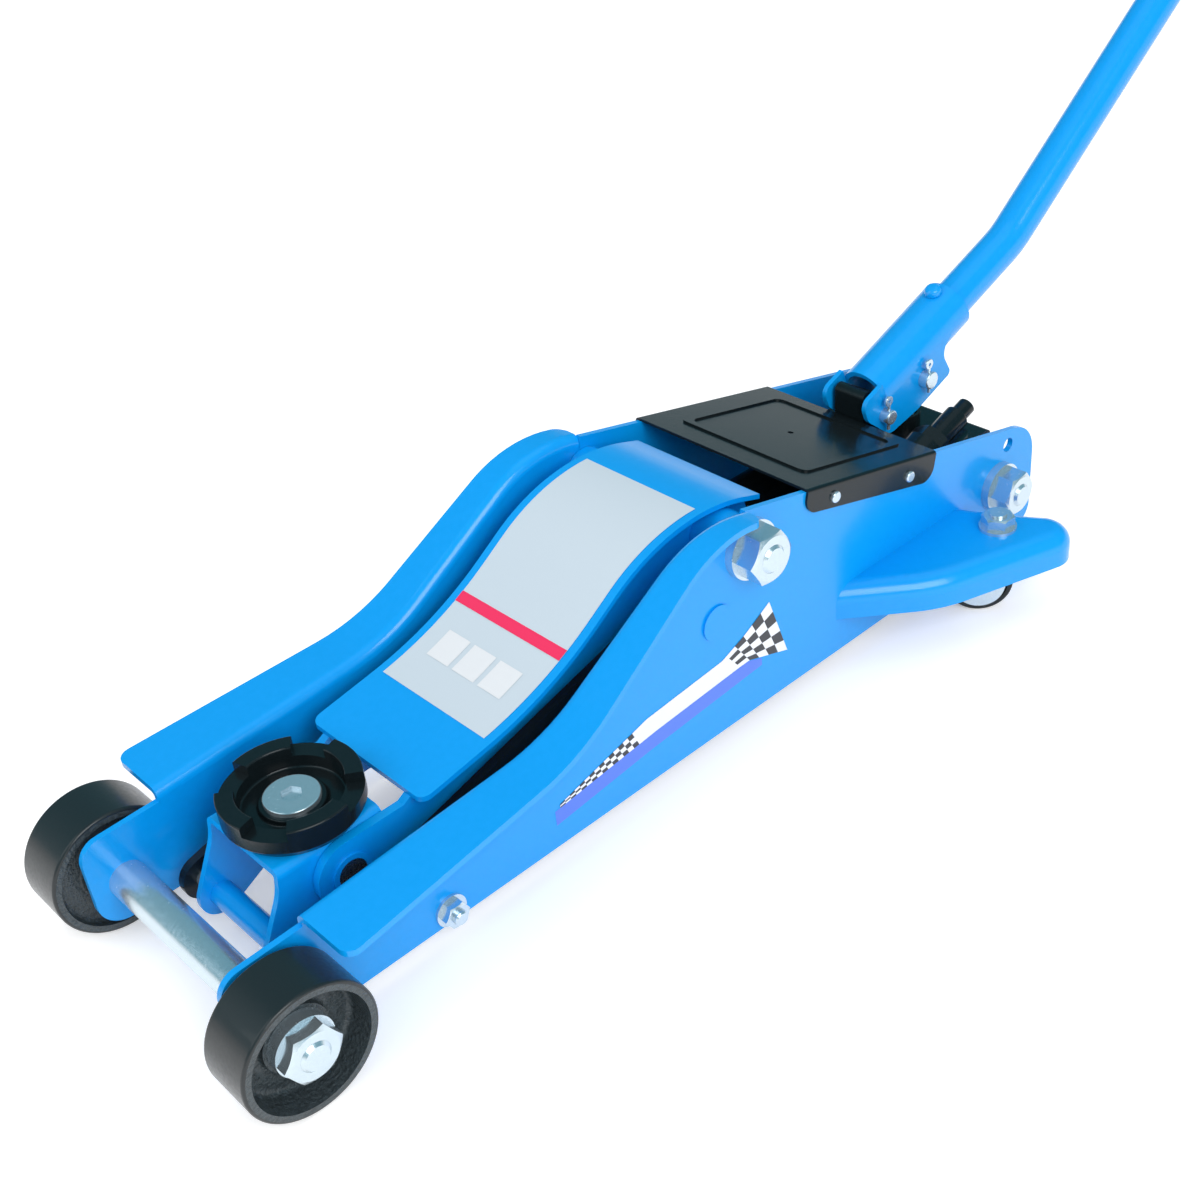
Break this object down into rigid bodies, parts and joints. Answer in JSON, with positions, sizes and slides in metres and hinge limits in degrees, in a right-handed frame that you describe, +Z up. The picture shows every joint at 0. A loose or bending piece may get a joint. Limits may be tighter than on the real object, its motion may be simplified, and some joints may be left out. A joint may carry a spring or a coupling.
{
  "type": "hydraulic trolley jack",
  "caption": "Low-profile hydraulic trolley jack: a saddle on a lift arm between two S-topped side plates, on two front rollers and two rear casters, pumped by a long cranked handle",
  "frame": {"origin": "on the floor, under the middle of the whole jack's bounding box, handle included", "axes": "+X towards the saddle end, +Y to the jack's left, +Z up from the floor"},
  "size_m": [1.3112, 0.26, 0.6335],
  "materials": {
    "blue_paint": "gloss blue enamel over pressed steel",
    "black_paint": "gloss black enamel",
    "black_iron": "black painted casting, smooth tread",
    "zinc": "bright zinc plate",
    "bare_steel": "ground steel",
    "chrome_steel": "hard chrome, polished",
    "black_rubber": "matt moulded rubber",
    "spring_steel": "plain spring wire"
  },
  "bodies": {
    "chassis": {"side_plate_left": "blue_paint", "side_plate_right": "blue_paint", "front_axle": "zinc", "front_axle_washers": "zinc", "front_axle_nuts": "zinc", "front_tie_rod": "zinc", "front_tie_nuts": "zinc", "main_pivot_shaft": "zinc", "main_pivot_washers": "zinc", "main_pivot_nuts": "zinc", "rear_tie_studs": "zinc", "rear_tie_washers": "zinc", "rear_tie_nuts": "zinc", "link_pivot_studs": "bare_steel", "top_cover": "black_paint", "top_cover_screws": "zinc", "wing_bracket_left": "blue_paint", "wing_bracket_right": "blue_paint", "caster_nuts": "zinc", "pump_block": "black_paint", "cylinder_cap": "black_paint", "reservoir_tube": "black_paint", "pressure_cylinder": "bare_steel", "fulcrum_post": "black_paint", "release_valve_gland": "black_paint", "plunger_spring": "spring_steel"},
    "front_wheel_left": {"front_wheel_left": "black_iron"},
    "front_wheel_right": {"front_wheel_right": "black_iron"},
    "caster_left": {"caster_yoke_left": "zinc", "caster_rivet_left": "zinc"},
    "caster_right": {"caster_yoke_right": "zinc", "caster_rivet_right": "zinc"},
    "caster_wheel_left": {"caster_wheel_left": "black_iron"},
    "caster_wheel_right": {"caster_wheel_right": "black_iron"},
    "lift_arm": {"arm_side_left": "blue_paint", "arm_side_right": "blue_paint", "arm_top_cover": "blue_paint", "arm_pivot_tube": "blue_paint", "arm_front_pin": "bare_steel", "horn_pin": "bare_steel"},
    "saddle_bracket": {"saddle_bracket": "blue_paint", "bracket_cross_tube": "blue_paint", "link_front_pin": "zinc", "saddle_screw": "zinc", "saddle_nut": "zinc"},
    "saddle": {"saddle": "black_paint"},
    "level_links": {"level_link_left": "black_paint", "level_link_right": "black_paint"},
    "ram": {"ram": "chrome_steel", "piston_seal": "black_rubber"},
    "handle_socket": {"handle_socket": "blue_paint", "fulcrum_pin": "zinc", "pump_pin": "zinc", "split_pins": "zinc"},
    "pump_plunger": {"pump_plunger": "bare_steel"},
    "thumb_screw": {"thumb_screw": "blue_paint"},
    "handle": {"handle_lower_tube": "blue_paint", "handle_upper_tube": "blue_paint", "handle_grip": "black_rubber"},
    "release_valve": {"release_valve": "black_paint"}
  },
  "joints": [
    {"name": "front_wheel_left_spin", "type": "hinge", "parent": "chassis", "child": "front_wheel_left", "pos_m": [0.61981, 0.0689, 0.0358], "axis": [0, 1, 0], "continuous": true},
    {"name": "front_wheel_right_spin", "type": "hinge", "parent": "chassis", "child": "front_wheel_right", "pos_m": [0.61981, -0.0689, 0.0358], "axis": [0, 1, 0], "continuous": true},
    {"name": "caster_left_swivel", "type": "hinge", "parent": "chassis", "child": "caster_left", "pos_m": [0.11981, 0.095, 0.0555], "axis": [0, 0, 1], "continuous": true},
    {"name": "caster_right_swivel", "type": "hinge", "parent": "chassis", "child": "caster_right", "pos_m": [0.11981, -0.095, 0.0555], "axis": [0, 0, 1], "continuous": true},
    {"name": "caster_left_roll", "type": "hinge", "parent": "caster_left", "child": "caster_wheel_left", "pos_m": [0.12598, 0.08765, 0.0199], "axis": [0.766, 0.6428, 0], "continuous": true},
    {"name": "caster_right_roll", "type": "hinge", "parent": "caster_right", "child": "caster_wheel_right", "pos_m": [0.12598, -0.08765, 0.0199], "axis": [-0.766, 0.6428, 0], "continuous": true},
    {"name": "arm_lift", "type": "hinge", "parent": "chassis", "child": "lift_arm", "pos_m": [0.29831, 0, 0.1205], "axis": [0, -1, 0], "range_deg": [0, 66.1]},
    {"name": "bracket_level", "type": "hinge", "parent": "lift_arm", "child": "saddle_bracket", "pos_m": [0.54851, 0, 0.0514], "axis": [0, -1, 0], "range_deg": [-66.5, 0.4]},
    {"name": "saddle_swivel", "type": "hinge", "parent": "saddle_bracket", "child": "saddle", "pos_m": [0.55161, 0, 0.0721], "axis": [0, 0, 1], "continuous": true},
    {"name": "link_swing", "type": "hinge", "parent": "chassis", "child": "level_links", "pos_m": [0.33811, 0, 0.0941], "axis": [0, -1, 0], "range_deg": [-0.4, 66.5]},
    {"name": "ram_slide", "type": "slide", "parent": "chassis", "child": "ram", "axis": [1, 0, 0], "range_m": [-0.0002, 0.04924]},
    {"name": "handle_pump", "type": "hinge", "parent": "chassis", "child": "handle_socket", "pos_m": [0.12781, 0, 0.1073], "axis": [0, -1, 0], "range_deg": [0, 26], "stiffness_Nm_per_rad": 5.7, "springref_deg": -57.3},
    {"name": "plunger_stroke", "type": "slide", "parent": "chassis", "child": "pump_plunger", "axis": [0, 0, -1], "range_m": [-0.0002, 0.01762], "deforming": ["plunger_spring"]},
    {"name": "thumb_screw_turn", "type": "hinge", "parent": "handle_socket", "child": "thumb_screw", "pos_m": [0.05556, 0, 0.14083], "axis": [0.3502, 0, 0.9367], "range_deg": [0, 720]},
    {"name": "handle_draw", "type": "slide", "parent": "handle_socket", "child": "handle", "axis": [-0.9367, 0, 0.3502], "range_m": [0, 0.045]},
    {"name": "release_valve_turn", "type": "hinge", "parent": "chassis", "child": "release_valve", "pos_m": [0.10221, 0.035, 0.085], "axis": [-0.9483, 0, 0.3173], "range_deg": [0, 180]}
  ],
  "couplings": [
    {"joint": "bracket_level", "follows": "arm_lift", "ratio": -1},
    {"joint": "link_swing", "follows": "arm_lift", "ratio": 1},
    {"joint": "ram_slide", "follows": "arm_lift", "m_per_rad": 0.042509},
    {"joint": "plunger_stroke", "follows": "handle_pump", "m_per_rad": 0.038382}
  ]
}
